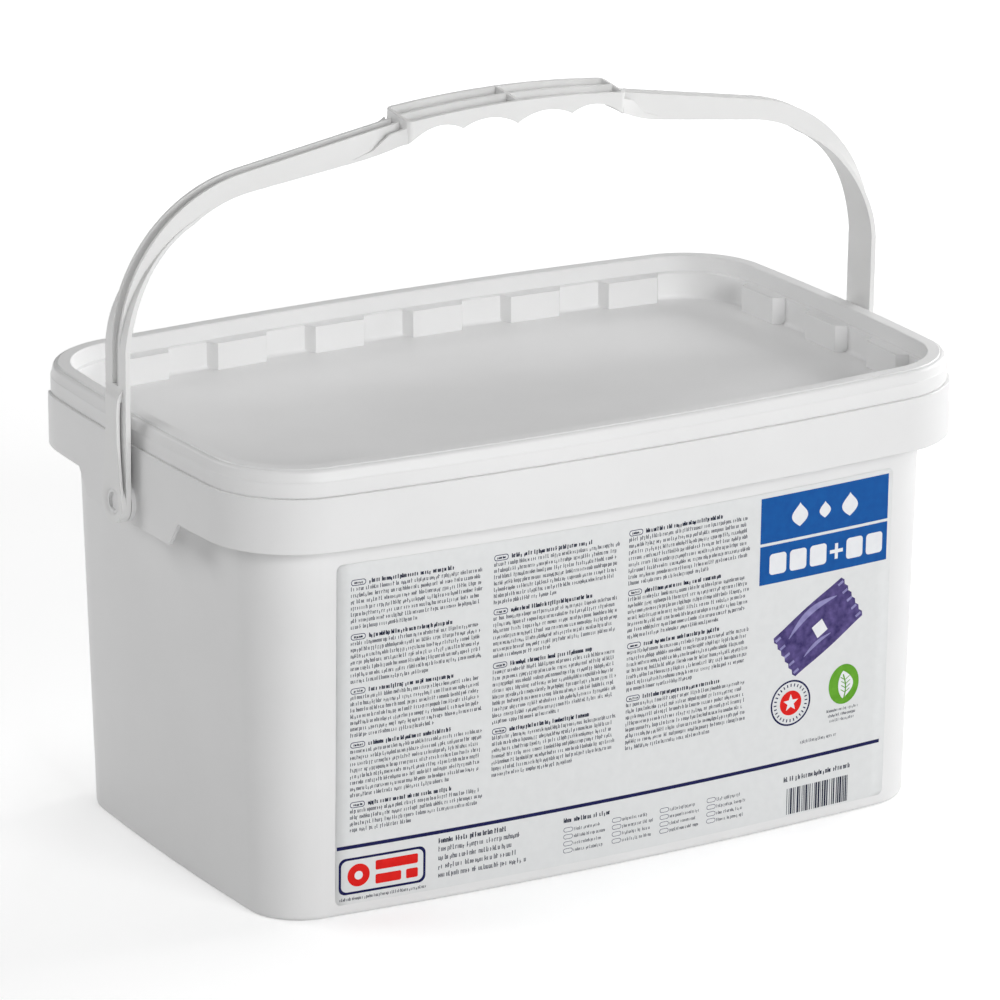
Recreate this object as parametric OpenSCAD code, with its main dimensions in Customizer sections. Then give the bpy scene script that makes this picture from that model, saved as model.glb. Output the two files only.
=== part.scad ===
// Rectangular snap-lid tub with a swinging bail handle, a printed label and wrapped tablets inside.
// Origin at the middle of the base, +Z up, +X along the long side, the label faces -Y.

/* [Tub] */
// Length over the apron, end to end
tub_length = 396; // [384:1:408]
// Depth over the apron at the middle of the long sides
tub_depth = 256.8; // [248:0.4:266]
// Height of the seam between the apron and the lid's band
seam_height = 209.5; // [202:0.5:222]
// Wall thickness of the tub
wall = 1.8; // [1.5:0.1:2.2]
// Thickness of the base plate
base_thickness = 2.2; // [1.8:0.1:3]
// Height of the foot ring under the base plate
foot_height = 1.6; // [1:0.1:2.5]
// Width of the foot ring
foot_width = 5; // [4:0.5:7]
// Inward lean of the walls towards the base, in degrees
draft = 1.44; // [1:0.02:1.8]
// Turn of each bowed long side from its middle to the corner, in degrees
side_turn = 4.88; // [4.4:0.02:5.4]
// Turn of each bowed end from its middle to the corner, in degrees
end_turn = 2.74; // [2.3:0.02:3.1]
// Radius of the four corners, at the apron
corner_radius = 47; // [43:0.5:50]

/* [Apron] */
// Height of the apron that hangs from the rim
apron_height = 26; // [22:0.5:30]
// Distance from the apron's outer face in to the wall, at the apron's lower edge
apron_step = 14.4; // [13:0.2:16]
// Extra drop of the apron at the two pivots
lug_drop = 12; // [11:0.5:14]
// Width of that deeper part at its lower edge
lug_width = 84; // [70:1:96]
// Height of the sealing lip above the seam
lip_height = 8.5; // [7:0.5:9.5]
// Distance from the apron's outer face in to the lip's outer face
lip_step = 7; // [6.6:0.1:7.4]
// Thickness of the ribs behind the apron
rib = 1.4; // [1:0.1:2]

/* [Lid] */
// Distance from the apron's outer face in to the lid's band
band_set = 1.3; // [1:0.1:1.6]
// Height of the lid's upright band above the seam
band_height = 7.5; // [6.5:0.1:8]
// Height of the lid's rim above the seam
rim_height = 13; // [12.5:0.1:14]
// Wall thickness of the lid
lid_wall = 1.5; // [1.2:0.1:1.7]
// Distance from the apron's outer face in to the flat land of the rim
land_step = 4.7; // [4.5:0.1:5]
// Width of the flat land
land_width = 6.6; // [6.2:0.1:7]
// Depth of the recessed panel below the rim
recess_depth = 21.5; // [19:0.5:23]
// Height of the stacking blocks above the panel
block_height = 13.4; // [11:0.2:14.4]
// Length of a stacking block at its front face
block_length = 27; // [22:0.5:30]
// How far a block stands out from the lid's wall
block_depth = 5.6; // [4:0.2:7]
// Spacing of the blocks along the long sides
block_pitch = 54.9; // [50:0.5:57]
// Spacing of the blocks along the ends
end_block_pitch = 57; // [50:0.5:60]

/* [Bail] */
// Height of the pivot below the seam
pivot_drop = 27.5; // [26.5:0.5:28.5]
// Radius of the tub's pivot pins
pin_radius = 5.7; // [5:0.1:6.2]
// Radial play of the bail's eyes on the pins
pivot_play = 0.06; // [0.03:0.01:0.1]
// Radius of the bail's eyes
eye_radius = 10.3; // [9.6:0.1:10.6]
// Length of the bail's eyes along the pivot
eye_length = 5; // [4.4:0.1:6]
// Height of the boss that the eye runs against
boss_height = 2.3; // [2:0.1:3]
// Side gap between boss and eye
side_gap = 0.3; // [0.2:0.05:0.5]
// Length of the straight arm above the pivot
arm_straight = 74; // [70:1:80]
// Outer radius of the bend between arm and bow
bend_radius = 76.5; // [75:0.5:78]
// Depth of the bow's channel where it leaves the bend
channel_depth = 10; // [8:0.5:10]
// Thickness of the bail's walls
bail_wall = 1.5; // [1.2:0.1:1.8]
// Width over the channel's two walls
channel_width = 9; // [8:0.5:10]
// Height of the arm's wings over its thinner strap
wing_step = 1; // [0.6:0.1:1.2]
// Thickness left under the groove of the arm
groove_floor = 0.8; // [0.7:0.1:1]
// Height of the tongue's upper end above the pivot
tongue_height = 54; // [50:1:58]
// Slope of the bow's top edge up to the grip, in degrees
bow_slope = 9.7; // [8:0.1:11]
// Slope of the bow's floor up to the grip, in degrees
floor_slope = 7.2; // [6:0.1:8]
// Lean of the bail towards the front, as it stands, in degrees
bail_lean = 1.5; // [0:0.1:4]

/* [Grip] */
// Length of the grip
grip_length = 117; // [105:1:125]
// Width of the grip
grip_width = 23; // [20:0.5:26]
// Rise of the grip's crowned top from its ends to the middle
grip_crown = 3.4; // [2:0.1:5]
// Height of the grip's ends over the bow's top edge
grip_proud = 2.7; // [1:0.1:4]
// Depth of the grip at its ends
grip_depth = 11.6; // [10:0.2:13]
// Rise of the finger hollows' line from the grip's ends to its middle
grip_arch = 3.8; // [2:0.1:5]
// Tilt of the grip towards the front, on the bow, in degrees
grip_tilt = 5; // [0:0.5:6]
// Length of the webs that spread from the bow to the grip's ends
gusset_length = 25; // [20:1:30]
// Number of finger hollows along the grip
finger_count = 4; // [3:1:5]
// Height of a finger hollow
finger_rise = 4.5; // [3:0.1:5]

/* [Label] */
// Margin from the apron's left end to the label film
left_margin = 52; // [51:0.5:58]
// Margin from the apron's right end to the label film
right_margin = 45; // [44:0.5:50]
// Lower edge of the label film
label_low = 6; // [5:0.5:8]
// Room between the label's upper edge and the apron
top_margin = 11.5; // [9.5:0.5:13.5]
// Thickness of the film, and of each printed field on it
film = 0.1; // [0.08:0.01:0.15]

/* [Contents] */
// Length, width and height of a tablet
tablet_size = [42, 32, 20];
// Thickness of the wrapper's film
wrapper_film = 0.3; // [0.2:0.05:0.5]
// Length of a crimped end seal
seal_length = 8.5; // [6:0.5:9]
// Room between tablet and wrapper, and between wrapped tablets
pack_gap = 0.6; // [0.3:0.1:0.8]
// Least room between the outer tablets and the tub's wall
wall_room = 3; // [2:0.5:6]

/* [Hidden] */

half_l = tub_length / 2;
half_d = tub_depth / 2;
pivot_height = seam_height - pivot_drop;
apron_low = seam_height - apron_height;
floor_height = foot_height + base_thickness;
// The bows' radii follow from their turns, so that sides, corners and ends run smoothly into each other
straight_x = tub_length / 2 - corner_radius;
straight_y = tub_depth / 2 - corner_radius;
side_bow = 1 - cos(side_turn);
end_bow = 1 - cos(end_turn);
turns = sin(side_turn) * sin(end_turn) - side_bow * end_bow;
side_reach = fine((straight_x * sin(end_turn) - straight_y * end_bow) / turns);
end_reach = fine((straight_y * sin(side_turn) - straight_x * side_bow) / turns);
side_radius = side_reach + corner_radius;
end_radius = end_reach + corner_radius;
corner_x = side_reach * sin(side_turn);
corner_y = end_reach * sin(end_turn);
side_y = corner_y - side_reach * cos(side_turn);
end_x = corner_x - end_reach * cos(end_turn);

// Radii and insets are kept to a hundredth of a millimetre
function fine(v) = round(100 * v) / 100;

// Inset of the wall's outer face from the apron's outer face, at height z
function wall_inset(z) = apron_step + (apron_low - z) * tan(draft);

// Points on an arc about c in the profile plane, from angle a to angle b
function arc(c, r, a, b, n = 6) = [for (i = [0 : n]) let (t = a + (b - a) * i / n) c + r * [cos(t), sin(t)]];

// The closed outline at one inset, as points
function outline(inset, n = 20) = let (
    quarter = concat(
        [for (i = [0 : 4]) let (t = end_turn * i / 4)
            [end_x + (end_radius - inset) * cos(t), (end_radius - inset) * sin(t)]],
        [for (i = [1 : n - 1]) let (t = end_turn + (90 - end_turn - side_turn) * i / n)
            [corner_x + (corner_radius - inset) * cos(t), corner_y + (corner_radius - inset) * sin(t)]],
        [for (i = [0 : 8]) let (t = 90 - side_turn + side_turn * i / 8)
            [(side_radius - inset) * cos(t), side_y + (side_radius - inset) * sin(t)]]),
    m = len(quarter))
    concat(quarter,
        [for (i = [m - 2 : -1 : 0]) [-quarter[i][0], quarter[i][1]]],
        [for (i = [1 : m - 1]) [-quarter[i][0], -quarter[i][1]]],
        [for (i = [m - 2 : -1 : 1]) [quarter[i][0], -quarter[i][1]]]);

// Moves children in one coarse and two fine steps, so that neighbouring sweeps meet exactly
module place(x, y) {
    near = [round(x), round(y)];
    next = [for (v = [x, y] - near) round(v * 100000) / 100000];
    translate(near) translate(next) translate([x, y] - near - next) children();
}

function turned(profile, radius) = [for (p = profile) [radius - fine(p[0]), p[1]]];

// A profile of [inset, z] points, carried from the middle of the back side to its right corner
module side_half(profile) place(0, side_y) mirror([1, 0, 0]) rotate(90)
    rotate_extrude(angle = side_turn, $fn = 360) polygon(turned(profile, side_radius));

// The same from the middle of the right end to its back corner
module end_half(profile) place(end_x, 0)
    rotate_extrude(angle = end_turn, $fn = 360) polygon(turned(profile, end_radius));

// The same round the corner between them: what two quarter turns have in common
module corner_sweep(profile) place(corner_x, corner_y) intersection() {
    rotate_extrude(angle = 90 - side_turn, $fn = 72) polygon(turned(profile, corner_radius));
    mirror([1, -1, 0]) rotate_extrude(angle = 90 - end_turn, $fn = 72) polygon(turned(profile, corner_radius));
}

module both_ends() { children(); mirror([1, 0, 0]) children(); }
module both_sides() { children(); mirror([0, 1, 0]) children(); }

// The profile carried once round the whole outline
module ring(profile) both_sides() both_ends() {
    side_half(profile);
    corner_sweep(profile);
    end_half(profile);
}

// Children stand at x along the back side, with their +Y pointing out of the apron's outer face
module on_side(x) translate([0, side_y]) rotate(-asin(x / side_radius)) translate([0, side_radius]) children();
// Children stand at y along the right end, with their +Y pointing out
module on_end(y) translate([end_x, 0]) rotate(asin(y / end_radius)) translate([end_radius, 0])
    rotate(-90) children();

// A shape drawn in the XZ plane, thick in Y
module slab(y0, y1) translate([0, y1, 0]) rotate([90, 0, 0]) linear_extrude(y1 - y0) children();

// Tub

shoulder_low = apron_low + 4;
shoulder_high = shoulder_low + 5;
lip_top = seam_height + lip_height;
lip_inner = lip_step + wall;
foot_inset = wall_inset(0);
inner_radius = 4;
edge = 0.3;

function tub_profile() = concat(
    [[foot_inset + foot_width + 12, floor_height], [foot_inset + foot_width + 12, foot_height],
     [foot_inset + foot_width + 4, foot_height], [foot_inset + foot_width + 3, 0]],
    arc([foot_inset + 3, 3], 3, 270, 180),
    [[wall_inset(shoulder_low), shoulder_low], [lip_step, shoulder_high],
     [lip_step, seam_height - wall], [wall, seam_height - wall],
     [wall, apron_low], [edge, apron_low], [0, apron_low + edge],
     [0, seam_height - edge], [edge, seam_height],
     [lip_step, seam_height], [lip_step, seam_height + 3], [lip_step - 0.6, seam_height + 4],
     [lip_step - 0.6, seam_height + 4.8], [lip_step, seam_height + 5.8],
     [lip_step + 0.4, lip_top], [lip_inner - 0.4, lip_top], [lip_inner, lip_top - 1],
     [lip_inner, shoulder_high + wall / 2], [wall_inset(shoulder_low) + wall, shoulder_low + wall / 2]],
    arc([wall_inset(floor_height) + wall + inner_radius, floor_height + inner_radius],
        inner_radius, 180, 270));

eye_inner = half_l + boss_height + side_gap;
eye_outer = eye_inner + eye_length;
pin_recess = 0.8;
lug_low = apron_low - lug_drop;

// The deeper part of the apron that carries a pivot pin
module lug() {
    slope = lug_drop * 0.75;
    intersection() {
        both_sides() end_half([[0, lug_low], [wall, lug_low], [wall, apron_low + 2], [0, apron_low + 2]]);
        translate([half_l - apron_step, 0, 0]) rotate([90, 0, 90]) linear_extrude(2 * apron_step)
            polygon([[-lug_width / 2, lug_low], [lug_width / 2, lug_low],
                [lug_width / 2 + slope, apron_low], [lug_width / 2 + slope, apron_low + 2],
                [-lug_width / 2 - slope, apron_low + 2], [-lug_width / 2 - slope, apron_low]]);
    }
    // Two webs tie the pin's seat back to the wall
    for (y = [-eye_radius - 4, eye_radius + 4]) slab(y - rib / 2, y + rib / 2) polygon([for (p = [
        [wall_inset(lug_low + 1) + wall / 2, lug_low + 1], [wall / 2, lug_low + 1],
        [wall / 2, seam_height - wall / 2], [lip_step + wall / 2, seam_height - wall / 2],
        [lip_step + wall / 2, shoulder_high], [wall_inset(shoulder_low) + wall / 2, shoulder_low]])
        [half_l - p[0], p[1]]]);
}

module pivot_pin() translate([0, 0, pivot_height]) rotate([0, 90, 0]) {
    translate([0, 0, half_l - wall / 2]) cylinder(r = eye_radius, h = wall / 2 + boss_height, $fn = 96);
    translate([0, 0, half_l])
        cylinder(r = pin_radius, h = boss_height + side_gap + eye_length - pin_recess, $fn = 96);
}

module pin_dish() translate([eye_outer - pin_recess - 1.2, 0, pivot_height]) rotate([0, 90, 0])
    cylinder(r1 = pin_radius - 1.6, r2 = pin_radius - 1.2, h = 2, $fn = 96);

// Thin upright ribs between lip and apron
module apron_ribs() {
    module one() translate([-rib / 2, -lip_step - 0.5, shoulder_high + 2])
        cube([rib, lip_step + 0.5 - wall / 2, seam_height - wall / 2 - shoulder_high - 2]);
    both_sides() for (i = [-3 : 3]) on_side(i * corner_x / 3.5) one();
    both_ends() for (s = [-1, 1]) on_end(s * corner_y * 0.8) one();
}

// The place at the back left corner where the lid is pried off
notch_depth = 4.5;
notch_step = 3.3;
notch_turn = 48;
module notch_sweep(turn, low, in0, in1, high) mirror([1, 0, 0]) place(corner_x, corner_y) rotate(45 - turn / 2)
    rotate_extrude(angle = turn, $fn = 72)
        polygon([for (p = [[in0, low], [in1, low], [in1, high], [in0, high]]) [corner_radius - p[0], p[1]]]);
module notch_shelf() notch_sweep(notch_turn + 4, seam_height - notch_depth - wall, wall / 2,
    notch_step + wall, seam_height - wall / 2);
module notch() notch_sweep(notch_turn, seam_height - notch_depth, -1, notch_step, seam_height + 1);

module tub() color([0.93, 0.93, 0.92]) difference() {
    union() {
        ring(tub_profile());
        translate([0, 0, foot_height]) linear_extrude(base_thickness)
            polygon(outline(foot_inset + foot_width + 8));
        both_ends() { lug(); pivot_pin(); }
        apron_ribs();
        notch_shelf();
    }
    both_ends() pin_dish();
    notch();
}

// Lid

rim_top = seam_height + rim_height;
panel_top = rim_top - recess_depth;
ledge_height = panel_top + block_height;
land_end = land_step + land_width;
wall_in = land_end + 1.7;
lid_fit = 0.4;
// Inset of the band's outer face where it rounds over into the land, and the radius there
round_set = band_set + 1.2;
round_radius = 1.8;
round_low = rim_top - 0.6 - round_radius;
// A rib under the rim runs round the outside of the tub's lip
grip_in = lip_step - 0.6 - lid_fit;
grip_low = seam_height + 3.8;
under_rim = rim_top - lid_wall;

function lid_profile() = concat(
    [[band_set + lid_wall, seam_height], [band_set + edge, seam_height], [band_set, seam_height + edge],
     [band_set + 0.15, seam_height + band_height - 0.4], [band_set + 0.5, seam_height + band_height]],
    arc([round_set + round_radius, round_low], round_radius, 180, 90),
    [[land_step, rim_top - 0.6], [land_step + 0.4, rim_top], [land_end - 0.5, rim_top],
     [land_end, rim_top - 0.5], [land_end + 0.2, ledge_height + 0.4], [wall_in - 0.4, ledge_height],
     [wall_in, ledge_height - 0.4]],
    arc([wall_in + 2, panel_top + 2], 2, 180, 270),
    [[wall_in + 6, panel_top], [wall_in + 6, panel_top - lid_wall],
     [wall_in - lid_wall, panel_top - lid_wall], [wall_in - lid_wall, ledge_height - lid_wall],
     [lip_inner + lid_fit, ledge_height - lid_wall + 1.2], [lip_inner + lid_fit, under_rim],
     [grip_in, under_rim - 0.2], [grip_in, grip_low], [grip_in - 1.2, grip_low],
     [grip_in - 1.2, under_rim - 2], [round_set + lid_wall, under_rim - 2.4],
     [band_set + 0.5 + lid_wall, seam_height + band_height - 1],
     [band_set + 0.15 + lid_wall, seam_height + 3]]);

// One stacking block seen from above, with slanting flanks; the lid's wall runs round it, open from below
module block_plan(grow, back, reach)
    polygon([[-block_length / 2 - 3.4 + grow, -back], [-block_length / 2 + grow, -wall_in - reach],
        [block_length / 2 - grow, -wall_in - reach], [block_length / 2 + 3.4 - grow, -back]]);

module block() translate([0, 0, panel_top - 0.5]) linear_extrude(block_height + 0.5)
    block_plan(0, wall_in - 0.4, block_depth);
module block_pocket() translate([0, 0, panel_top - lid_wall - 1]) linear_extrude(block_height + 1)
    block_plan(lid_wall, wall_in - lid_wall - 1, block_depth - lid_wall);

module each_block() {
    both_sides() for (i = [-2.5 : 1 : 2.5]) on_side(i * block_pitch) children();
    both_ends() for (i = [-1 : 1]) on_end(i * end_block_pitch) children();
}

module lid() color([0.95, 0.95, 0.94]) difference() {
    union() {
        ring(lid_profile());
        translate([0, 0, panel_top - lid_wall]) linear_extrude(lid_wall) polygon(outline(wall_in + 3));
        each_block() block();
    }
    each_block() block_pocket();
}

// Bail

bend_x = eye_inner + bail_wall + 1 - bend_radius;
bend_z = pivot_height + arm_straight;
strap_width = 2 * eye_radius;
grip_half = grip_length / 2;
bow_start = bend_radius - channel_depth;
bow_end = eye_inner - bend_x;

// Radius of the bail's inner face about the bend's centre, at angle f from upright
function bend_inner(f) = let (t = max(0, (f - 35) / 55)) bow_start + (bow_end - bow_start) * pow(t, 0.85);
function bend_point(r, f) = [bend_x + r * sin(f), bend_z + r * cos(f)];
// The strap grows thicker round the bend, and the floor of its groove thinner
function round_bend(f) = min(1, max(0, (f - 45) / 35));
function strap_skin(f) = bail_wall + wing_step * round_bend(f);
function groove_skin(f) = bail_wall - (bail_wall - groove_floor) * round_bend(f);

bend_step = 2.5;
bend_turns = [for (f = [floor_slope : bend_step : 90 - bend_step / 2]) f];
// Height of the bow's two straight lines, at x
function bow_line(r, slope, x) = bend_point(r, slope)[1] + (bend_point(r, slope)[0] - x) * tan(slope);
grip_top = bow_line(bend_radius, bow_slope, grip_half - 1) + grip_proud;
grip_end_low = grip_top - grip_depth;
// The floor rises over the gusset's length to the grip's lower edge
floor_rise = grip_end_low - bow_line(bow_start, floor_slope, grip_half);
function floor_line(x) = bow_line(bow_start, floor_slope, x)
    + floor_rise * pow(max(0, min(1, 1 - (x - grip_half) / gusset_length)), 2);
gusset_xs = [for (i = [0 : 6]) grip_half - 1 + (gusset_length + 1) * i / 6];

outer_line = concat(
    [[grip_half - 1, bow_line(bend_radius, bow_slope, grip_half - 1)]],
    [for (f = [bow_slope : bend_step : 90 - bend_step / 2]) bend_point(bend_radius, f)],
    [bend_point(bend_radius, 90)]);
// The inner face, and the same moved outwards by the thickness over it
function inner_offset(over, under) = concat(
    [for (x = gusset_xs) [x, floor_line(x) + under]],
    [for (f = bend_turns) bend_point(bend_inner(f) + over(f), f)],
    [bend_point(bend_inner(90) + over(90), 90)]);
inner_line = inner_offset(function(f) 0, 0);
lifted_line = inner_offset(function(f) strap_skin(f), bail_wall);
groove_line = inner_offset(function(f) groove_skin(f), bail_wall);

function back(list) = [for (i = [len(list) - 1 : -1 : 0]) list[i]];

tongue_top = pivot_height + tongue_height;
groove_end = tongue_top + 2;
arm_outer = eye_inner + bail_wall + wing_step;

module channel_walls() for (s = [0, 1]) mirror([0, s, 0])
    slab(channel_width / 2 - bail_wall, channel_width / 2) polygon(concat(outer_line,
        [[arm_outer, pivot_height], [eye_inner, pivot_height]], back(inner_line)));

// The strap under the channel is narrow along the bow and widens down the arm to the eye
module strap() intersection() {
    slab(-strap_width / 2, strap_width / 2) polygon(concat(lifted_line,
        [[arm_outer, pivot_height], [eye_inner, pivot_height]], back(inner_line)));
    translate([grip_half - 10, 0, 0]) rotate([90, 0, 90]) linear_extrude(half_l) strap_face();
}
// The groove between the channel's walls runs down the arm, behind the tongue, to the eye
groove_half = channel_width / 2 - bail_wall;
module groove() slab(-groove_half, groove_half) polygon(concat(groove_line,
    [[eye_inner + groove_floor, pivot_height + eye_radius - 1],
     [arm_outer + 1, pivot_height + eye_radius - 1]],
    [bend_point(bend_radius + 1, 90), bend_point(bend_radius + 1, 70), bend_point(bend_radius + 1, 50),
     bend_point(bend_radius + 2, 30), bend_point(bend_radius + 2, bow_slope),
     outer_line[0] + [0, 3]]));

widen_high = bend_z + bend_radius * 0.82;
widen_low = bend_z + bend_radius * 0.08;
function strap_half(z) = let (t = min(1, max(0, (widen_high - z) / (widen_high - widen_low))))
    channel_width / 2 + (strap_width - channel_width) / 2 * (3 * t * t - 2 * t * t * t);
module strap_face() {
    zs = concat([pivot_height - 1], [for (i = [0 : 14]) widen_low + (widen_high - widen_low) * i / 14],
        [bend_z + 2 * bend_radius]);
    polygon(concat([for (z = zs) [strap_half(z), z]], back([for (z = zs) [-strap_half(z), z]])));
}

// The raised tongue above the eye: a waisted plate on one web, closed at its upper end
tongue_waist = 5.5;
tongue_tip = 7.5;
function tongue_half(t) = t < 0.75 ? eye_radius - (eye_radius - tongue_waist) * sin(120 * t)
    : tongue_waist + (tongue_tip - tongue_waist) * (1 - cos(360 * (t - 0.75)));
module tongue() {
    n = 16;
    low = tongue_top - 5;
    rise = groove_end - pivot_height;
    intersection() {
        translate([eye_inner, 0, 0]) rotate([90, 0, 90]) linear_extrude(eye_length)
            polygon(concat([for (i = [0 : n]) [tongue_half(i / n), pivot_height + rise * i / n]],
                back([for (i = [0 : n]) [-tongue_half(i / n), pivot_height + rise * i / n]])));
        slab(-eye_radius, eye_radius) polygon([[eye_outer - bail_wall, pivot_height],
            [eye_outer, pivot_height], [eye_outer, low], [eye_outer - 0.4, low + 2.5], [arm_outer, groove_end],
            [eye_inner + groove_floor / 2, groove_end], [eye_inner + groove_floor / 2, low + 2],
            [eye_outer - bail_wall - 0.4, low]]);
    }
    slab(-bail_wall / 2, bail_wall / 2) polygon([[eye_inner + groove_floor / 2, pivot_height],
        [eye_outer - 0.5, pivot_height], [eye_outer - 0.5, low], [eye_inner + groove_floor / 2, low + 3]]);
}

module eye() translate([eye_inner, 0, pivot_height]) rotate([0, 90, 0])
    cylinder(r = eye_radius, h = eye_length, $fn = 96);
module eye_bore() translate([eye_inner, 0, pivot_height]) rotate([0, 90, 0]) {
    translate([0, 0, -1]) cylinder(r = pin_radius + pivot_play, h = eye_length + 2, $fn = 96);
    translate([0, 0, eye_length - 0.9])
        cylinder(r1 = pin_radius + pivot_play, r2 = pin_radius + 1.9, h = 1, $fn = 96);
}

// Webs that spread from the channel to the grip's end
function gusset_half(t) = channel_width / 2 + (grip_width - channel_width) / 2 * pow(t, 1.7);
module gusset() {
    n = 8;
    x0 = grip_half - 0.5;
    edge_line = [for (i = [0 : n]) [x0 + gusset_length * (1 - i / n), gusset_half(i / n)]];
    far = [x0 + gusset_length, floor_line(x0 + gusset_length)];
    floor_points = [for (x = gusset_xs) [x, floor_line(x)]];
    for (s = [0, 1]) mirror([0, s, 0]) intersection() {
        translate([0, 0, far[1] - 5]) linear_extrude(40)
            polygon(concat(edge_line, [for (p = back(edge_line)) p - [0, bail_wall]]));
        slab(0, grip_width) polygon(concat(floor_points, [far + [0, bail_wall],
            [x0 + gusset_length * 0.6, floor_line(x0 + gusset_length * 0.6) + channel_depth * 0.3],
            [x0 + gusset_length * 0.3, grip_end_low + channel_depth * 0.45],
            [x0 - 0.5, grip_end_low + channel_depth * 0.75]]));
    }
    intersection() {
        translate([0, 0, far[1] - 5]) linear_extrude(40)
            polygon(concat(edge_line, back([for (p = edge_line) [p[0], -p[1]]])));
        slab(-grip_width, grip_width) polygon(concat(lifted_line, back(inner_line)));
    }
}

// Grip: an open-topped box with a crowned top and a scalloped underside
finger_pitch = grip_length / finger_count;
function crown(x) = grip_top + grip_crown * (1 - pow(x / grip_half, 2));
function scallop(x) = let (t = x / grip_half, k = abs(sin(180 * (x + grip_half) / finger_pitch)))
    grip_end_low + grip_arch * (1 + 2 * pow(t, 2) - 3 * pow(t, 4))
    + (finger_rise - 2 * pow(t, 2)) * pow(k, 0.8);
grip_steps = 16 * finger_count;
grip_xs = [for (i = [0 : grip_steps]) -grip_half + grip_length * i / grip_steps];

function rounded(a, b, r) = concat(arc([a - r, b - r], r, 0, 90), arc([-a + r, b - r], r, 90, 180),
    arc([-a + r, -b + r], r, 180, 270), arc([a - r, -b + r], r, 270, 360));

module grip_body() intersection() {
    slab(-grip_width / 2, grip_width / 2)
        polygon(concat([for (x = grip_xs) [x, crown(x)]], back([for (x = grip_xs) [x, scallop(x)]])));
    translate([0, 0, grip_top - 2 * grip_depth]) linear_extrude(4 * grip_depth)
        polygon(rounded(grip_half, grip_width / 2, 3));
}

module grip_cells() intersection() {
    slab(-grip_width / 2, grip_width / 2)
        polygon(concat([for (x = grip_xs) [x, crown(x) + 5]],
            back([for (x = grip_xs) [x, scallop(x) + bail_wall]])));
    translate([0, 0, grip_top - 2 * grip_depth]) linear_extrude(4 * grip_depth) difference() {
        polygon(rounded(grip_half - bail_wall, grip_width / 2 - bail_wall, 2));
        square([grip_length, bail_wall], center = true);
        square([bail_wall, grip_width], center = true);
    }
}

module on_pivot(z, lean) translate([0, 0, z]) rotate([lean, 0, 0]) translate([0, 0, -z]) children();

module bail() color([0.94, 0.94, 0.93]) on_pivot(pivot_height, bail_lean) {
    difference() {
        both_ends() {
            difference() { union() { channel_walls(); strap(); } groove(); }
            tongue();
            eye();
            gusset();
        }
        both_ends() eye_bore();
    }
    on_pivot(grip_top - 2 * grip_depth, grip_tilt) difference() { grip_body(); grip_cells(); }
}

// Contents: wrapped tablets in even layers

body_size = [for (v = tablet_size) v + 2 * (wrapper_film + pack_gap / 2)];
pitch_x = body_size[0] + 2 * seal_length + pack_gap * 3;
pitch_y = body_size[1] + pack_gap * 8;
pitch_z = body_size[2] + pack_gap;
seal_thickness = 2 * wrapper_film + 0.2;
// As many tablets along and across as the tub's floor takes
inside = wall_inset(floor_height) + wall + wall_room;
tablets_along = floor((tub_length - 2 * inside) / pitch_x);
tablets_across = floor((tub_depth - 2 * inside) / pitch_y);

module each_place(layer)
    for (i = [0 : tablets_along - 1], j = [0 : tablets_across - 1])
        translate([(i - (tablets_along - 1) / 2) * pitch_x, (j - (tablets_across - 1) / 2) * pitch_y,
            floor_height + 0.3 + (layer - 0.5) * pitch_z - pack_gap / 2]) children();

module chamfered(size, c) linear_extrude(size[2], center = true) polygon([
    [-size[0] / 2 + c, -size[1] / 2], [size[0] / 2 - c, -size[1] / 2],
    [size[0] / 2, -size[1] / 2 + c], [size[0] / 2, size[1] / 2 - c],
    [size[0] / 2 - c, size[1] / 2], [-size[0] / 2 + c, size[1] / 2],
    [-size[0] / 2, size[1] / 2 - c], [-size[0] / 2, -size[1] / 2 + c]]);

module wrapper() difference() {
    union() {
        chamfered(body_size, 3);
        cube([body_size[0] + 2 * seal_length, body_size[1] * 0.82, seal_thickness], center = true);
    }
    chamfered([for (v = body_size) v - 2 * wrapper_film], 3 - wrapper_film / 2);
}

module wrappers(layer) color([0.36, 0.33, 0.60]) each_place(layer) wrapper();
module tablets(layer) color([0.86, 0.88, 0.93]) each_place(layer) chamfered(tablet_size, 3);

// Label: thin fields that follow the bowed, leaning front wall

label_left = left_margin - half_l;
label_right = half_l - right_margin;
label_high = apron_low - top_margin;

// The skin between two heights above the wall's face, all along the front
module front_skin(under, over) mirror([0, 1, 0]) both_ends() place(0, side_y) mirror([1, 0, 0]) rotate(90)
    rotate_extrude(angle = side_turn + 0.2, $fn = 360) polygon(turned([
        [wall_inset(label_low - 1) - under, label_low - 1], [wall_inset(label_low - 1) - over, label_low - 1],
        [wall_inset(label_high + 1) - over, label_high + 1],
        [wall_inset(label_high + 1) - under, label_high + 1]],
        side_radius));

air = 0.02;
module on_front(level) intersection() {
    front_skin(air + level * (film + air), air + level * (film + air) + film);
    translate([0, -half_d / 2, 0]) rotate([90, 0, 0]) linear_extrude(half_d) children();
}
module field(x0, x1, z0, z1) translate([x0, z0]) square([x1 - x0, z1 - z0]);

// Places of the printed fields, from the label's edges
number_width = 73.9;
number_right = label_right - 2.6;
number_left = number_right - number_width;
number_split = label_high - 26;
number_gap = 1.4;
rule_height = label_low + 28.2;
rule_width = 1.2;
picture_size = [44, 27];
picture_place = [label_right - 41, label_high - 71];
seal_radius = 11.5;
seal_band = 3.5;
seal_place = [label_right - 56.3, rule_height + 29.8];
oval_radius = 12.4;
oval_step = 5;
oval_place = [label_right - 25.3, rule_height + 32.8];
emblem_size = [44.5, 22];
emblem_frame = 0.6;
bars = 18;
bar_pitch = 2.1;
bar_height = 13.4;
bars_left = label_right - 57;

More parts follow.
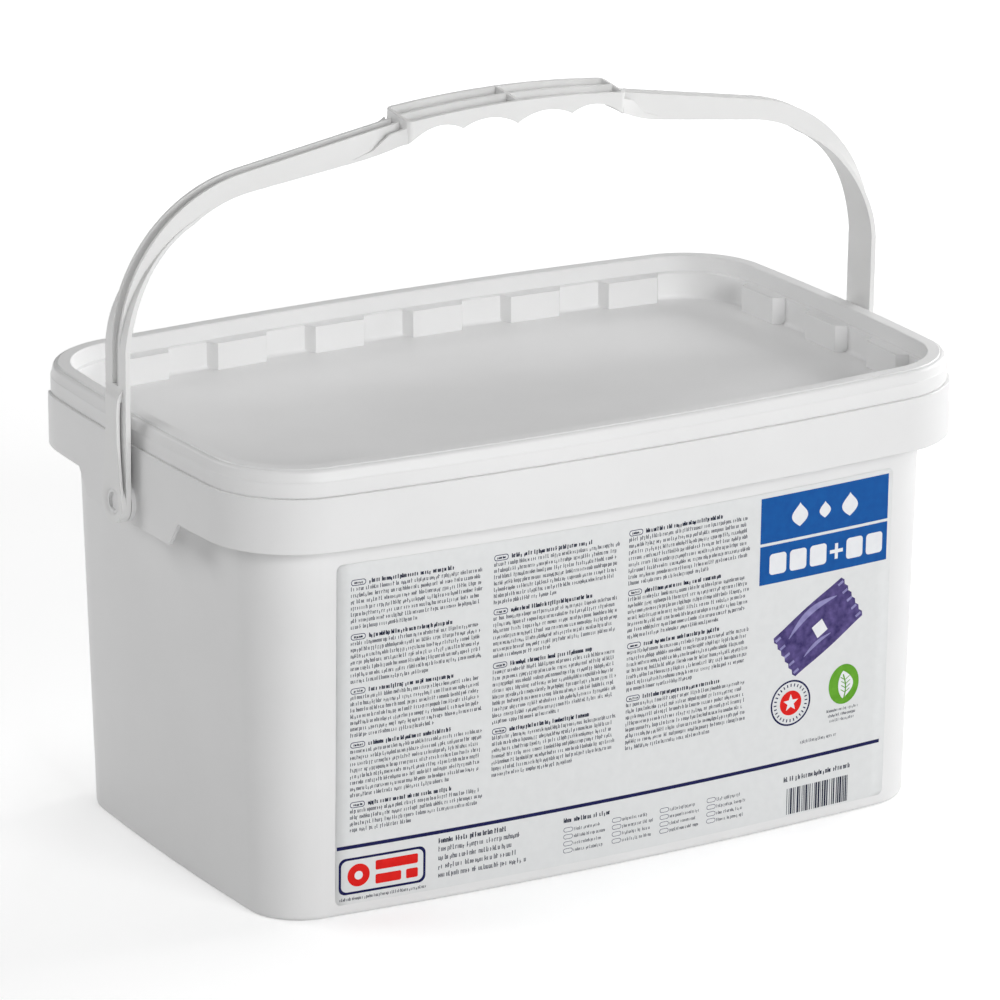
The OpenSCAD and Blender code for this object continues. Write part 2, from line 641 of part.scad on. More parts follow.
module label_film() color([0.90, 0.91, 0.94]) on_front(0)
    field(label_left, label_right, label_low, label_high);
module label_number_field() color([0.05, 0.33, 0.62]) on_front(1) {
    field(number_left, number_right, number_split + number_gap / 2, label_high - 2.4);
    field(number_left, number_right, number_split - 19.6, number_split - number_gap / 2);
}
module label_rule() color([0.05, 0.05, 0.35]) on_front(1)
    field(label_left + 1, label_right - 3, rule_height - rule_width / 2, rule_height + rule_width / 2);
module label_picture() color([0.33, 0.27, 0.55]) on_front(1)
    translate(picture_place) rotate(32) square(picture_size, center = true);
module label_seal() color([0.10, 0.20, 0.50]) on_front(1) translate(seal_place) difference() {
    circle(r = seal_radius, $fn = 96);
    circle(r = seal_radius - seal_band, $fn = 96);
}
module label_oval() color([0.25, 0.50, 0.28]) on_front(1) translate(oval_place) intersection() {
    translate([-oval_step, 0]) circle(r = oval_radius, $fn = 96);
    translate([oval_step, 0]) circle(r = oval_radius, $fn = 96);
}
module label_barcode() color([0.08, 0.08, 0.10]) on_front(1) for (i = [0 : bars - 1])
    let (w = bar_pitch * (0.25 + 0.16 * ((i * 7) % 4)), x = bars_left + i * bar_pitch)
        field(x, x + w, label_low + 1, label_low + 1 + bar_height);
module label_emblem() color([0.15, 0.20, 0.45]) on_front(1)
    translate([label_left + 1.5, label_low + 3]) difference() {
        square(emblem_size);
        translate([emblem_frame, emblem_frame]) square(emblem_size - 2 * [emblem_frame, emblem_frame]);
    }

tub();
lid();
bail();
wrappers(1);  // wrapper_layer_1
wrappers(2);  // wrapper_layer_2
wrappers(3);  // wrapper_layer_3
wrappers(4);  // wrapper_layer_4
wrappers(5);  // wrapper_layer_5
wrappers(6);  // wrapper_layer_6
tablets(1);  // tablet_layer_1
tablets(2);  // tablet_layer_2
tablets(3);  // tablet_layer_3
tablets(4);  // tablet_layer_4
tablets(5);  // tablet_layer_5
tablets(6);  // tablet_layer_6
label_film();
label_number_field();
label_rule();
label_picture();
label_seal();
label_oval();
label_barcode();
label_emblem();
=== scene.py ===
import math
import random

import bpy
import numpy as np
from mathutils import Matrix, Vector


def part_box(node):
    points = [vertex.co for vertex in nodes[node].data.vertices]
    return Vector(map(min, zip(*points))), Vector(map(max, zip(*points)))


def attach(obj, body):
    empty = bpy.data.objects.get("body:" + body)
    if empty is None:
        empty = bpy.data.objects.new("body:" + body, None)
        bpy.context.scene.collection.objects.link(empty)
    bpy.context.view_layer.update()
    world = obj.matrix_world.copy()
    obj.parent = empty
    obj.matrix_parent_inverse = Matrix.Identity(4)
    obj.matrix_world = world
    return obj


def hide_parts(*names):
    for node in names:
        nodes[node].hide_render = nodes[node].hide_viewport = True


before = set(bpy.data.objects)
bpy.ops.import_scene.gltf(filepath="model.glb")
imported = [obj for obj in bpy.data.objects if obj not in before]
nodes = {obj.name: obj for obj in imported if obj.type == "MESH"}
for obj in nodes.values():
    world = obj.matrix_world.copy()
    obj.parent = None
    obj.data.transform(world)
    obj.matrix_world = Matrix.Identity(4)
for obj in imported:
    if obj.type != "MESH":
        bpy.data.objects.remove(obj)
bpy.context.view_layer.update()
scene = bpy.context.scene
MM = 0.001


# Materials

def new_material(name):
    mat = bpy.data.materials.new(name)
    mat.use_nodes = True
    tree = mat.node_tree
    shader = tree.nodes["Principled BSDF"]
    return mat, tree, shader


def link(tree, a, out, b, socket):
    tree.links.new(a.outputs[out], b.inputs[socket])


def noise(tree, scale, detail=3.0, roughness=0.5):
    where = tree.nodes.new("ShaderNodeTexCoord")
    node = tree.nodes.new("ShaderNodeTexNoise")
    node.inputs["Scale"].default_value = scale
    node.inputs["Detail"].default_value = detail
    node.inputs["Roughness"].default_value = roughness
    link(tree, where, "Object", node, "Vector")
    return node


def ramp(tree, source, out, low, high, at=(0.35, 0.65)):
    node = tree.nodes.new("ShaderNodeValToRGB")
    node.color_ramp.elements[0].position, node.color_ramp.elements[1].position = at
    node.color_ramp.elements[0].color = (*low, 1)
    node.color_ramp.elements[1].color = (*high, 1)
    link(tree, source, out, node, "Fac")
    return node


def span(tree, source, out, low, high, start=0.0, end=1.0):
    node = tree.nodes.new("ShaderNodeMapRange")
    node.inputs["From Min"].default_value = start
    node.inputs["From Max"].default_value = end
    node.inputs["To Min"].default_value = low
    node.inputs["To Max"].default_value = high
    link(tree, source, out, node, "Value")
    return node


def bumped(tree, source, strength, distance):
    node = tree.nodes.new("ShaderNodeBump")
    node.inputs["Strength"].default_value = strength
    node.inputs["Distance"].default_value = distance
    link(tree, source, "Fac", node, "Height")
    return node


def moulded(name, low, high, rough=(0.34, 0.44), edge=0.35):
    """White moulded plastic: faint flow marks, satin gloss that varies, fine skin texture and soft edges."""
    mat, tree, shader = new_material(name)
    flow = noise(tree, 9, 4, 0.55)
    link(tree, ramp(tree, flow, "Fac", low, high), "Color", shader, "Base Color")
    blotch = noise(tree, 38, 3)
    link(tree, span(tree, blotch, "Fac", *rough), "Result", shader, "Roughness")
    bump = bumped(tree, noise(tree, 1500, 2), 0.05, 0.00008)
    wave = bumped(tree, noise(tree, 26, 2), 0.06, 0.0006)
    link(tree, bump, "Normal", wave, "Normal")
    if edge:
        bevel = tree.nodes.new("ShaderNodeBevel")
        bevel.samples = 4
        bevel.inputs["Radius"].default_value = edge * MM
        link(tree, bevel, "Normal", bump, "Normal")
    link(tree, wave, "Normal", shader, "Normal")
    shader.inputs["IOR"].default_value = 1.49
    shader.inputs["Specular IOR Level"].default_value = 0.5
    return mat


def printed(name, low, high, rough=(0.34, 0.44)):
    """Printed film: a flat ink with slight density changes and a light gloss."""
    mat, tree, shader = new_material(name)
    dots = noise(tree, 240, 3)
    link(tree, ramp(tree, dots, "Fac", low, high, (0.3, 0.7)), "Color", shader, "Base Color")
    link(tree, span(tree, noise(tree, 60, 2), "Fac", *rough), "Result", shader, "Roughness")
    bump = bumped(tree, noise(tree, 14, 2), 0.08, 0.0003)
    link(tree, bump, "Normal", shader, "Normal")
    shader.inputs["Specular IOR Level"].default_value = 0.18
    return mat


def sachet_film(name):
    """Violet wrapper film with pale drifts, folds and gloss."""
    mat, tree, shader = new_material(name)
    drift = noise(tree, 45, 3)
    link(tree, ramp(tree, drift, "Fac", (0.035, 0.028, 0.13), (0.12, 0.10, 0.33), (0.4, 0.62)), "Color",
         shader, "Base Color")
    bump = bumped(tree, noise(tree, 120, 4, 0.6), 0.5, 0.0012)
    link(tree, bump, "Normal", shader, "Normal")
    link(tree, span(tree, drift, "Fac", 0.2, 0.38), "Result", shader, "Roughness")
    return mat


def powder(name):
    """Pressed powder: pale, matt, with darker and bluer grains."""
    mat, tree, shader = new_material(name)
    grains = noise(tree, 1400, 4, 0.7)
    link(tree, ramp(tree, grains, "Fac", (0.42, 0.52, 0.72), (0.86, 0.88, 0.90), (0.36, 0.5)), "Color",
         shader, "Base Color")
    bump = bumped(tree, grains, 0.5, 0.0003)
    link(tree, bump, "Normal", shader, "Normal")
    shader.inputs["Roughness"].default_value = 0.85
    return mat


tub_plastic = moulded("tub_plastic", (0.79, 0.79, 0.79), (0.825, 0.825, 0.825))
lid_plastic = moulded("lid_plastic", (0.80, 0.80, 0.80), (0.835, 0.835, 0.835), (0.36, 0.46), 0.4)
bail_plastic = moulded("bail_plastic", (0.80, 0.80, 0.795), (0.84, 0.84, 0.835), (0.32, 0.42), 0.3)
film_white = printed("film_white", (0.745, 0.755, 0.757), (0.77, 0.78, 0.782), (0.36, 0.46))
ink_black = printed("ink_black", (0.008, 0.012, 0.035), (0.018, 0.024, 0.055))
ink_blue = printed("ink_blue", (0.0006, 0.078, 0.32), (0.0015, 0.095, 0.36))
ink_navy = printed("ink_navy", (0.002, 0.003, 0.055), (0.004, 0.006, 0.08))
ink_white = printed("ink_white", (0.80, 0.81, 0.84), (0.84, 0.85, 0.87))
ink_red = printed("ink_red", (0.68, 0.006, 0.004), (0.76, 0.012, 0.008))
ink_green = printed("ink_green", (0.10, 0.32, 0.015), (0.14, 0.40, 0.03))
ink_violet = printed("ink_violet", (0.030, 0.020, 0.11), (0.12, 0.09, 0.27))
ink_lilac = printed("ink_lilac", (0.22, 0.20, 0.42), (0.32, 0.30, 0.55))
wrap_film = sachet_film("wrap_film")
tablet_powder = powder("tablet_powder")


# CAD nodes: materials, and normals that run smoothly over the curved faces

def smooth(obj, angle=32):
    """Averages the normals, weighted by area, of faces that meet at a point within the angle."""
    mesh = obj.data
    co = np.empty(len(mesh.vertices) * 3)
    mesh.vertices.foreach_get("co", co)
    keys = np.round(co.reshape(-1, 3) * 2e6).astype(np.int64)
    _, point = np.unique(keys, axis=0, return_inverse=True)
    corner_vertex = np.empty(len(mesh.loops), dtype=np.int32)
    mesh.loops.foreach_get("vertex_index", corner_vertex)
    n = len(mesh.polygons)
    normal, area = np.empty(n * 3), np.empty(n)
    start, total = np.empty(n, dtype=np.int32), np.empty(n, dtype=np.int32)
    mesh.polygons.foreach_get("normal", normal)
    mesh.polygons.foreach_get("area", area)
    mesh.polygons.foreach_get("loop_start", start)
    mesh.polygons.foreach_get("loop_total", total)
    normal = normal.reshape(-1, 3)
    face = np.repeat(np.arange(n), total)
    point = point.ravel()[corner_vertex]
    order = np.argsort(point, kind="stable")
    cuts = np.flatnonzero(np.diff(point[order])) + 1
    limit = math.cos(math.radians(angle))
    out = normal[face].copy()
    for group in np.split(order, cuts):
        faces = face[group]
        own = normal[faces]
        near = (own @ own.T) > limit
        mean = (near * area[faces][None, :]) @ own
        length = np.linalg.norm(mean, axis=1)
        good = length > 1e-12
        out[group[good]] = mean[good] / length[good][:, None]
    mesh.polygons.foreach_set("use_smooth", np.ones(n, dtype=bool))
    mesh.normals_split_custom_set(out)


def dress(name, mat, angle=32):
    obj = nodes[name]
    obj.data.materials.clear()
    obj.data.materials.append(mat)
    if angle:
        smooth(obj, angle)


dress("tub", tub_plastic)
dress("lid", lid_plastic)
dress("bail", bail_plastic)
for layer in range(1, 7):
    dress(f"tablet_layer_{layer}", tablet_powder, 0)


# The front wall that carries the label: the same bow and draft as the tub's

HALF_L, HALF_D, CORNER = 198.0, 128.4, 47.0
SIDE_TURN, END_TURN = math.radians(4.88), math.radians(2.74)
sx, sy = HALF_L - CORNER, HALF_D - CORNER
bow, end_bow = 1 - math.cos(SIDE_TURN), 1 - math.cos(END_TURN)
spread = math.sin(SIDE_TURN) * math.sin(END_TURN) - bow * end_bow
SIDE_R = (sx * math.sin(END_TURN) - sy * end_bow) / spread + CORNER
APRON_LOW, APRON_STEP, DRAFT = 183.5, 14.4, math.tan(math.radians(1.44))


def wall(x, z, lift):
    """A point on the front wall's outer face, lifted off it, in metres."""
    r = SIDE_R - (APRON_STEP + (APRON_LOW - z) * DRAFT) + lift
    return (x * MM, (SIDE_R - HALF_D - math.sqrt(r * r - x * x)) * MM, z * MM)


def mesh_object(name, verts, faces, mat, body="tub_body", smooth_faces=True):
    mesh = bpy.data.meshes.new(name)
    mesh.from_pydata(verts, [], faces)
    mesh.update()
    if smooth_faces:
        mesh.polygons.foreach_set("use_smooth", np.ones(len(mesh.polygons), dtype=bool))
    obj = bpy.data.objects.new(name, mesh)
    scene.collection.objects.link(obj)
    mesh.materials.append(mat)
    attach(obj, body)
    return obj


class Print:
    """Shapes of one ink, laid on the front wall at one height above it."""

    def __init__(self, lift):
        self.lift, self.verts, self.faces = lift, [], []

    def grid(self, rows):
        """Joins rows of points (x, z), all of one length, into quads."""
        first, wide = len(self.verts), len(rows[0])
        for row in rows:
            self.verts += [wall(x, z, self.lift) for x, z in row]
        for j in range(len(rows) - 1):
            for i in range(wide - 1):
                a = first + j * wide + i
                self.faces.append((a, a + 1, a + wide + 1, a + wide))

    def box(self, x0, x1, z0, z1, step=8.0):
        n = max(1, math.ceil((x1 - x0) / step))
        xs = [x0 + (x1 - x0) * i / n for i in range(n + 1)]
        self.grid([[(x, z0) for x in xs], [(x, z1) for x in xs]])

    def rounded(self, x0, x1, z0, z1, r):
        """A field with rounded corners."""
        n = 6
        ks = [1 - math.cos(math.pi / 2 * i / n) for i in range(n + 1)]
        zs = [z0 + r * k for k in ks] + [z1 - r * k for k in reversed(ks)]
        wide = max(2, math.ceil((x1 - x0) / 8))
        rows = []
        for z in zs:
            d = r - min(z - z0, z1 - z, r)
            cut = r - math.sqrt(max(0.0, r * r - d * d))
            rows.append([(x0 + cut + (x1 - x0 - 2 * cut) * i / wide, z) for i in range(wide + 1)])
        self.grid(rows)

    def frame(self, x0, x1, z0, z1, r, stroke):
        """The outline of a field with rounded corners."""
        line = []
        corners = ((x1 - r, z1 - r, 0), (x0 + r, z1 - r, 90), (x0 + r, z0 + r, 180), (x1 - r, z0 + r, 270))
        for cx, cz, a in corners:
            turns = [math.radians(a + 15 * k) for k in range(7)]
            line += [(cx + r * math.cos(t), cz + r * math.sin(t)) for t in turns]
            if a in (0, 180):
                n = math.ceil((x1 - x0 - 2 * r) / 5)
                far, z = (x0 + r, z1) if a == 0 else (x1 - r, z0)
                line += [(line[-1][0] + (far - line[-1][0]) * k / n, z) for k in range(1, n)]
        mx, mz = (x0 + x1) / 2, (z0 + z1) / 2
        kx, kz = 1 - 2 * stroke / (x1 - x0), 1 - 2 * stroke / (z1 - z0)
        inner = [(mx + (x - mx) * kx, mz + (z - mz) * kz) for x, z in line]
        self.grid([line + line[:1], inner + inner[:1]])

    def ring(self, cx, cz, outer, inner, squash=1.0, n=48):
        turns = [2 * math.pi * i / n for i in range(n + 1)]
        self.grid([[(cx + r * math.cos(a), cz + r * squash * math.sin(a)) for a in turns]
                   for r in (inner, outer)])

    def disc(self, cx, cz, r, n=32):
        self.ring(cx, cz, r, 0.0, n=n)

    def band(self, line, width):
        """A stroke along a line of points."""
        left, right = [], []
        for i, (x, z) in enumerate(line):
            a, b = line[max(0, i - 1)], line[min(len(line) - 1, i + 1)]
            dx, dz = b[0] - a[0], b[1] - a[1]
            d = math.hypot(dx, dz) or 1
            w = width[i] / 2 if isinstance(width, list) else width / 2
            left.append((x - dz / d * w, z + dx / d * w))
            right.append((x + dz / d * w, z - dx / d * w))
        self.grid([left, right])

    def tick(self, x, z, wide, tall):
        self.grid([[(x, z), (x + wide, z)], [(x, z + tall), (x + wide, z + tall)]])

    def words(self, rng, x0, x1, z, height, weight=1.0, fill=1.0):
        """One greeked line: groups of small upright ticks with crossing strokes, no letters."""
        x, end = x0, x0 + (x1 - x0) * fill
        step, stroke = height * 0.52, height * 0.15 * weight
        while x < end - step:
            for _ in range(rng.choice((2, 3, 4, 5, 5, 6, 7, 8, 9, 11))):
                if x > end - step:
                    break
                tall = height * rng.choice((0.72, 0.72, 0.72, 1.0, 0.72, 1.0))
                drop = height * rng.choice((0, 0, 0, 0, 0, 0.22))
                self.tick(x, z - drop, stroke, tall)
                if rng.random() < 0.8:
                    level = z + height * rng.choice((0.0, 0.3, 0.58))
                    reach = step * rng.uniform(0.45, 0.72)
                    self.tick(x, level, reach, stroke * 0.9)
                if rng.random() < 0.45:
                    self.tick(x + step * 0.55, z, stroke * 0.9, height * 0.7)
                x += step * rng.uniform(0.92, 1.12)
            x += step * 0.62

    def done(self, name, mat, slot, node=None):
        obj = mesh_object(name, self.verts, self.faces, mat)
        if node:
            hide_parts(node)
        return obj


# The label: heights of film and inks above the wall, and its parts' places on the wall, in millimetres
FILM, INK, OVER = 0.20, 0.24, 0.28

film = Print(FILM)
film.rounded(-146, 153, 6, 172, 3)
sheet = film.done("label_sheet", film_white, "label_film", "label_film")
thick = sheet.modifiers.new("thickness", "SOLIDIFY")
thick.thickness = 0.16 * MM
thick.offset = -1

# Greeked paragraphs in three columns: each starts with a small tag and a bolder line
rng = random.Random(7)
text, bold, tags = Print(INK), Print(INK), Print(INK)
PITCH, TALL = 3.05, 2.1
COLUMNS = (
    (-139, -71.5, 161.8, (8, 8, 8, 9, 5)),
    (-67, -0.5, 163.0, (8, 8, 10, 8)),
    (4, 71.5, 163.8, (9, 8, 8, 9)),
)
for x0, x1, top, counts in COLUMNS:
    z = top
    for count in counts:
        tags.frame(x0, x0 + 7.4, z - 0.55, z + 2.35, 1.3, 0.32)
        bold.words(rng, x0 + 1.6, x0 + 6.6, z + 0.35, 1.15, 1.8)
        bold.words(rng, x0 + 9, x0 + 52, z, TALL, 1.7)
        for k in range(count - 1):
            z -= PITCH
            fill = rng.uniform(0.45, 0.8) if k == count - 2 else rng.uniform(0.965, 1.0)
            (bold if rng.random() < 0.12 else text).words(rng, x0, x1, z, TALL * 0.94, 1.05, fill)
        z -= PITCH * 1.6
for k in range(4):
    text.words(rng, -94, -94 + (44, 40, 42, 47)[k], 24.5 - 4.3 * k, 2.5, 1.0)
bold.words(rng, -94, -58, 28.6, 2.5, 1.5)
bold.words(rng, -28.5, -3, 27.0, 2.3, 1.5)
for col in range(4):
    left = -28.5 + col * 26.2
    for row in range(4):
        tags.frame(left, left + 5.0, 22.2 - 3.5 * row, 24.5 - 3.5 * row, 1.1, 0.22)
        text.words(rng, left + 5.6, left + (20, 23, 21, 22)[row], 22.4 - 3.5 * row, 1.7, 0.95)
bold.words(rng, 94, 133, 24.0, 2.5, 1.4)
for k in range(3):
    text.words(rng, 118 + k, 137 - k, 54.6 - 2.6 * k, 1.5, 1.0)
text.words(rng, 103, 125, 42.0, 1.7, 1.0)
text.words(rng, -144, -100, 5.6 + 2.2, 1.6, 1.1)
text.done("label_text", ink_black, "print_black")
bold.done("label_headings", ink_black, "print_black")
tags.done("label_tags", ink_navy, "print_navy")

# Blue fields with plain white shapes: drops above, a row of tablets below
blue = Print(INK)
blue.box(76.7, 150.6, 147.0, 169.5)
blue.box(76.7, 150.6, 126.4, 145.6)
blue.done("label_fields", ink_blue, "print_blue", "label_number_field")

white = Print(OVER)
for cx, size in ((99, 7.4), (113.5, 5.2), (128, 7.4)):
    rows = [[], []]
    for i in range(25):
        t = i / 24
        half = size * 0.62 * math.sin(math.pi * t) * (1 - t) ** 0.35 * 1.25
        z = 158 - size * 0.75 + 2 * size * 0.8 * t
        rows[0].append((cx - half, z))
        rows[1].append((cx + half, z))
    white.grid(rows)
for cx in (87, 98.6, 110.2, 131.4, 143):
    white.rounded(cx - 4.8, cx + 4.8, 130.8, 141.2, 1.8)
white.box(117, 124.6, 135.2, 137.0)
white.box(119.9, 121.7, 132.2, 140.0)
white.done("label_white_shapes", ink_white, "label_film")

rule = Print(INK)
rule.box(-145.5, 150, 33.3, 35.1)
rule.done("label_line", ink_navy, "print_navy", "label_rule")

# A violet sachet with crimped ends, lying aslant
violet, lilac = Print(INK), Print(OVER)
tilt, cx, cz = math.radians(31.5), 111.6, 99.6


def aslant(u, v):
    return (cx + u * math.cos(tilt) - v * math.sin(tilt), cz + u * math.sin(tilt) + v * math.cos(tilt))


rows = []
for j in range(13):
    v = -12.6 + 25.2 * j / 12
    row = []
    for i in range(15):
        u = -23 + 46 * i / 14
        edge = 1.0 if abs(u) > 17.5 else 1 + 0.05 * math.cos(u / 17.5 * math.pi / 2)
        jag = 0.5 * (1 if j % 2 else -1) if i in (0, 14) else 0
        row.append(aslant(u + (jag if i == 14 else -jag), v * edge))
    rows.append(row)
violet.grid(rows)
violet.done("label_sachet", ink_violet, "print_violet", "label_picture")
for k in range(5):
    v = -10.5 + 5.2 * k
    lilac.band([aslant(-22.5, v), aslant(-19.2, v)], 1.3)
    lilac.band([aslant(19.2, v), aslant(22.5, v)], 1.3)
lilac.band([aslant(-16 + 32 * i / 16, 6.4 + 3.6 * math.sin(i / 16 * math.pi)) for i in range(17)],
           [0.4 + 3.0 * math.sin(math.pi * i / 16) for i in range(17)])
lilac.band([aslant(-14 + 18 * i / 10, -7.5 + 1.2 * math.sin(i / 10 * math.pi)) for i in range(11)],
           [0.3 + 1.6 * math.sin(math.pi * i / 10) for i in range(11)])
lilac.done("label_sachet_light", ink_lilac, "print_violet")
patch = Print(OVER + 0.02)
patch.grid([[aslant(u, v) for u in (-3.2, 3.6)] for v in (-4.6, 2.2)])
patch.done("label_sachet_patch", ink_white, "label_film")

# Round seal, leaf, bars and the framed plate
SEAL_X, SEAL_Z, RAYS = 96.7, 64, 28


def on_seal(r, a):
    return (SEAL_X + r * math.cos(a), SEAL_Z + r * math.sin(a))


seal = Print(INK)
seal.ring(SEAL_X, SEAL_Z, 11.5, 10.6, n=64)
for k in range(RAYS):
    a = 2 * math.pi * k / RAYS
    seal.band([on_seal(8.2, a), on_seal(9.7, a)], 0.6)
seal.done("label_ring", ink_navy, "print_navy", "label_seal")
red = Print(INK)
red.disc(SEAL_X, SEAL_Z, 6.2, 40)
red.disc(-134.5, 19.8, 5.6, 40)
red.rounded(-126, -104.5, 20.9, 25.6, 0.8)
red.rounded(-126, -113, 14.0, 18.7, 0.8)
red.rounded(-110.5, -104.5, 14.0, 18.7, 0.8)
red.done("label_red", ink_red, "print_navy")
star = Print(OVER)
points = [on_seal(1.9 if k % 2 else 4.4, math.radians(90 + 36 * k)) for k in range(11)]
star.grid([points, [(SEAL_X, SEAL_Z)] * 11])
star.disc(-134.5, 19.7, 2.1, 24)
star.done("label_star", ink_white, "label_film")

green = Print(INK)
green.ring(127.7, 67.6, 8.9, 0.0, 1.13, 56)
green.done("label_leaf", ink_green, "print_green", "label_oval")


def midrib(t, foot):
    """A point along the leaf's middle, from its foot at 0 to its tip at 1."""
    return 127.2 + 1.6 * math.sin(math.pi * t), foot + 14.0 * t


leaf = [[], []]
for i in range(25):
    t = i / 24
    half = 4.4 * math.sin(math.pi * t) ** 0.8
    x, z = midrib(t, 60.4)
    leaf[0].append((x - half, z))
    leaf[1].append((x + half, z))
vein = Print(OVER)
vein.grid(leaf)
vein.done("label_veins", ink_white, "label_film")
rib = Print(OVER + 0.03)
rib.band([midrib(k / 10, 58.6) for k in range(11)], 0.7)
for k in range(1, 5):
    x, z = midrib(0.16 + 0.15 * k, 59)
    rib.band([(x, z), (x + 2.6, z + 1.7)], 0.4)
    rib.band([(x, z), (x - 2.6, z + 1.7)], 0.4)
rib.done("label_leaf_ribs", ink_green, "print_green")

code = Print(INK)
x = 96.0
while x < 132.4:
    w = rng.choice((0.35, 0.35, 0.55, 0.8, 1.05))
    code.box(x, x + w, 7.0, 20.3)
    x += w + rng.choice((0.35, 0.45, 0.6, 0.9))
code.done("label_bars", ink_black, "print_black", "label_barcode")

plate = Print(INK)
plate.frame(-144.5, -100.6, 10.8, 28.8, 3.4, 1.2)
plate.done("label_frame", ink_navy, "print_navy", "label_emblem")


# Wrapped tablets: a pillow of film round each, with crimped seals at both ends

def pillow():
    """Points and faces of one wrapper about its own middle, in millimetres.

    Each station along it gives its place, half width and half height.
    """
    half = [
        (-30.1, 13.4, 0.35), (-29.3, 13.6, 0.42), (-27.9, 13.6, 0.3), (-26.5, 13.7, 0.42),
        (-25.1, 13.9, 0.3), (-24.0, 14.3, 0.6), (-23.0, 15.4, 4.6), (-22.0, 16.3, 8.8),
        (-21.3, 16.55, 10.3), (-18, 16.6, 10.55), (-11, 16.6, 10.6), (-4, 16.55, 10.55),
    ]
    stations = half + [(-x, w, h) for x, w, h in reversed(half)]
    n = 28
    verts, faces = [], []
    for k, (x, w, h) in enumerate(stations):
        for i in range(n):
            a = 2 * math.pi * (i + 0.5) / n
            c, s = math.cos(a), math.sin(a)
            p = 0.42 if h > 3 else 0.25
            y = w * math.copysign(abs(c) ** p, c)
            z = h * math.copysign(abs(s) ** p, s)
            if abs(x) > 24.5:
                z += 0.28 * math.sin(x * 4.4)
            elif abs(x) > 21.5:
                z += 0.2 * math.sin(y * 1.1 + x)
            verts.append((x, y, z))
        if k:
            for i in range(n):
                a, b = (k - 1) * n + i, (k - 1) * n + (i + 1) % n
                faces.append((a, a + n, b + n, b))
    faces.append(tuple(range(n)))
    faces.append(tuple(reversed(range(len(verts) - n, len(verts)))))
    return verts, faces


STEP_X, STEP_Y = 0.062, 0.038
shape, skin = pillow()
for layer in range(1, 7):
    low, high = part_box(f"wrapper_layer_{layer}")
    mid = (low[2] + high[2]) / 2
    verts, faces = [], []
    for i in range(-2, 3):
        for j in range(-2, 3):
            flip = rng.choice((-1, 1))
            first = len(verts)
            verts += [(flip * x * MM + i * STEP_X, flip * y * MM + j * STEP_Y, z * MM + mid)
                      for x, y, z in shape]
            faces += [tuple(first + k for k in f) for f in skin]
    pack = mesh_object(f"wrapped_layer_{layer}", verts, faces, wrap_film)
    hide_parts(f"wrapper_layer_{layer}")


# Floor, lights and camera

def highest(tree, source, *outs):
    """The largest of a node's outputs."""
    top = (source, outs[0])
    for out in outs[1:]:
        node = tree.nodes.new("ShaderNodeMath")
        node.operation = "MAXIMUM"
        link(tree, *top, node, 0)
        link(tree, source, out, node, 1)
        top = (node, 0)
    return node


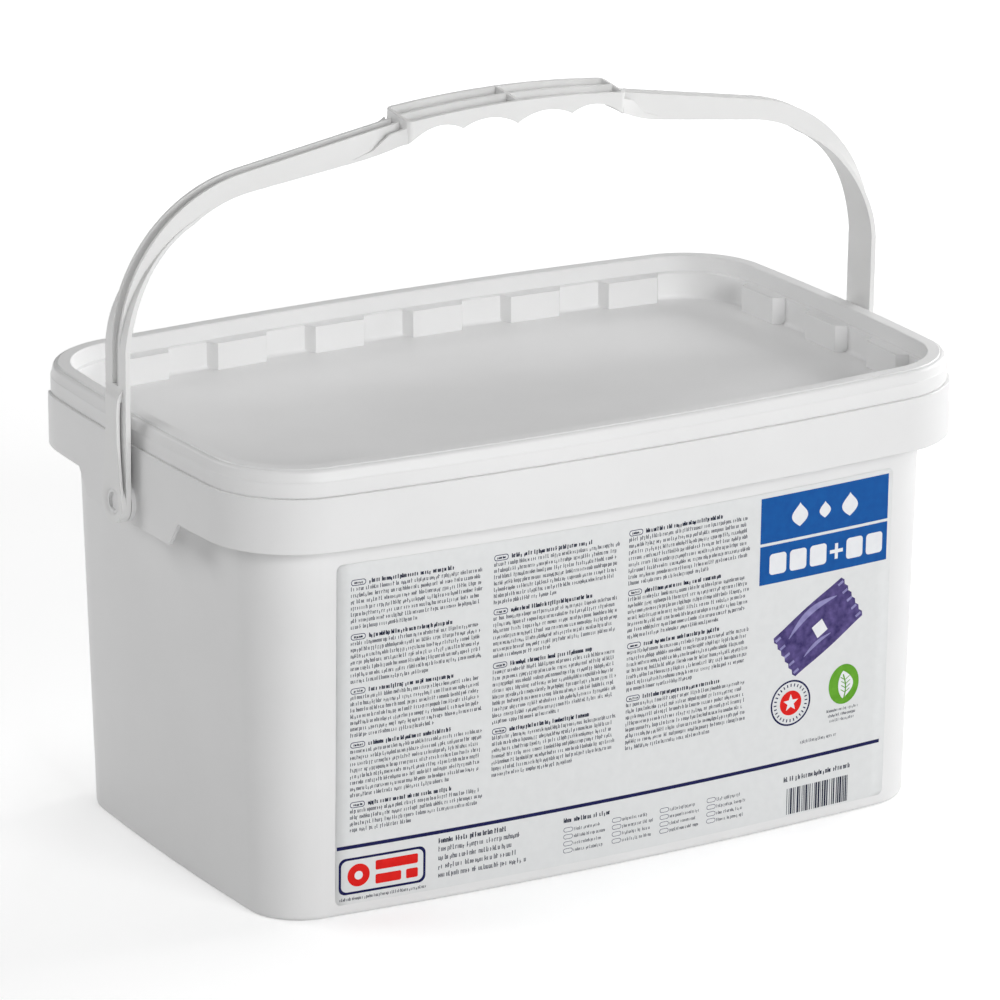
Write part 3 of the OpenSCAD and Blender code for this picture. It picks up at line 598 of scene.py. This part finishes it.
def stage_floor():
    """A pale floor that keeps shadows, and is white for the camera and in reflections."""
    mesh = bpy.data.meshes.new("floor")
    mesh.from_pydata([(-14, -8, 0), (14, -8, 0), (14, 20, 0), (-14, 20, 0)], [], [(0, 1, 2, 3)])
    obj = bpy.data.objects.new("floor", mesh)
    scene.collection.objects.link(obj)
    mat, tree, shader = new_material("floor_white")
    shader.inputs["Roughness"].default_value = 0.9
    shader.inputs["Specular IOR Level"].default_value = 0.1
    pale = ramp(tree, noise(tree, 2, 2), "Fac", (0.80, 0.80, 0.80), (0.82, 0.82, 0.82))
    link(tree, pale, "Color", shader, "Base Color")
    rays = tree.nodes.new("ShaderNodeLightPath")
    seen = highest(tree, rays, "Is Camera Ray", "Is Glossy Ray", "Is Transmission Ray")
    glow = tree.nodes.new("ShaderNodeMath")
    glow.operation = "MULTIPLY"
    link(tree, seen, 0, glow, 0)
    place = tree.nodes.new("ShaderNodeNewGeometry")
    far = tree.nodes.new("ShaderNodeVectorMath")
    far.operation = "LENGTH"
    link(tree, place, "Position", far, 0)
    fade = span(tree, far, "Value", 0.42, 1.05, 0.9, 1.6)
    link(tree, fade, "Result", glow, 1)
    shader.inputs["Emission Color"].default_value = (1, 1, 1, 1)
    link(tree, glow, 0, shader, "Emission Strength")
    mesh.materials.append(mat)


def lamp(name, place, size, power, aim=(0, 0, 0.15)):
    data = bpy.data.lights.new(name, "AREA")
    data.shape = "RECTANGLE"
    data.size, data.size_y = size
    data.energy = power
    obj = bpy.data.objects.new(name, data)
    scene.collection.objects.link(obj)
    obj.location = place
    obj.rotation_mode = "QUATERNION"
    obj.rotation_quaternion = (Vector(aim) - Vector(place)).to_track_quat("-Z", "Y")


# Each lamp's place and size in metres, and its power in watts
LAMPS = {
    "right": ((3.0, 0.2, 1.2), (1.6, 1.4), 56),
    "front": ((0.3, -3.2, 1.2), (1.8, 1.2), 62),
    "front_left": ((-2.0, -2.4, 1.4), (1.4, 1.4), 14),
    "left_back": ((-2.3, 2.0, 1.6), (1.6, 1.6), 38),
    "right_back": ((2.4, 2.0, 1.5), (1.6, 1.4), 17),
    "top": ((0.1, 0.1, 3.0), (2.0, 2.0), 17),
}
for name, (place, size, power) in LAMPS.items():
    lamp(name, place, size, power)

world = bpy.data.worlds.new("studio")
scene.world = world
world.use_nodes = True
sky = world.node_tree
ground = sky.nodes["Background"]
ground.inputs["Color"].default_value = (1, 1, 1, 1)
rays = sky.nodes.new("ShaderNodeLightPath")
seen = highest(sky, rays, "Is Camera Ray", "Is Transmission Ray")
link(sky, span(sky, seen, 0, 0.02, 1.0), "Result", ground, "Strength")

stage_floor()

camera = bpy.data.cameras.new("camera")
camera.sensor_width = 36
camera.lens = 224.39
camera.clip_start, camera.clip_end = 0.1, 60
eye = bpy.data.objects.new("camera", camera)
scene.collection.objects.link(eye)
eye.location = (-1.4009, -2.4612, 1.0559)
eye.rotation_mode = "QUATERNION"
eye.rotation_quaternion = (Vector((0, 0, 0.15014)) - eye.location).to_track_quat("-Z", "Y")
scene.camera = eye
scene.view_settings.view_transform = "Standard"
